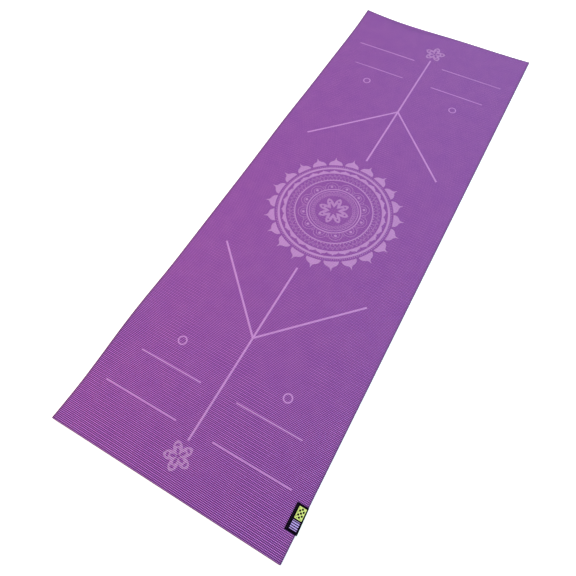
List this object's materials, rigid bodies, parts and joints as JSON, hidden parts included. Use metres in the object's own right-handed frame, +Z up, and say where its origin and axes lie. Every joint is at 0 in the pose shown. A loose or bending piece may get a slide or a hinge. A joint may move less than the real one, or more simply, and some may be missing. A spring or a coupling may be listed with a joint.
{
  "type": "yoga mat",
  "caption": "Flat rectangular foam yoga mat with a padded embossed top, printed alignment marks, a round printed centre ornament and a woven label sewn round one edge.",
  "frame": {"origin": "middle of the flat underside, on the floor", "axes": "+Y along the mat to the end away from the label, +X across the mat to the edge that carries the label, +Z up out of the printed face"},
  "size_m": [0.6135, 1.727, 0.0052],
  "materials": {
    "foam": "matt PVC foam, embossed on top",
    "scrim": "open woven polyester",
    "label": "woven polyester ribbon",
    "thread": "spun polyester",
    "ink": "matt screen ink"
  },
  "bodies": {
    "root": {"foam_lower": "foam", "foam_upper": "foam", "scrim_core": "scrim", "edge_label": "label", "label_needle_thread": "thread", "label_bobbin_thread": "thread", "print_spine_near": "ink", "print_spine_far": "ink", "print_flower_near": "ink", "print_flower_far": "ink", "print_bar_near_inner_left": "ink", "print_bar_near_inner_right": "ink", "print_bar_near_outer_left": "ink", "print_bar_near_outer_right": "ink", "print_bar_far_inner_left": "ink", "print_bar_far_inner_right": "ink", "print_bar_far_outer_left": "ink", "print_bar_far_outer_right": "ink", "print_spot_near_left": "ink", "print_spot_near_right": "ink", "print_spot_far_left": "ink", "print_spot_far_right": "ink", "ornament_centre_flower": "ink", "ornament_ring_inner": "ink", "ornament_ring_inner_twin": "ink", "ornament_ring_middle": "ink", "ornament_ring_outer": "ink", "ornament_scallop_band": "ink", "ornament_petal_01": "ink", "ornament_petal_02": "ink", "ornament_petal_03": "ink", "ornament_petal_04": "ink", "ornament_petal_05": "ink", "ornament_petal_06": "ink", "ornament_petal_07": "ink", "ornament_petal_08": "ink", "ornament_petal_09": "ink", "ornament_petal_10": "ink", "ornament_petal_11": "ink", "ornament_petal_12": "ink", "ornament_petal_13": "ink", "ornament_petal_14": "ink", "ornament_petal_15": "ink", "ornament_petal_16": "ink", "ornament_petal_17": "ink", "ornament_petal_18": "ink", "ornament_petal_19": "ink", "ornament_petal_20": "ink", "ornament_petal_21": "ink", "ornament_petal_22": "ink"}
  },
  "joints": []
}
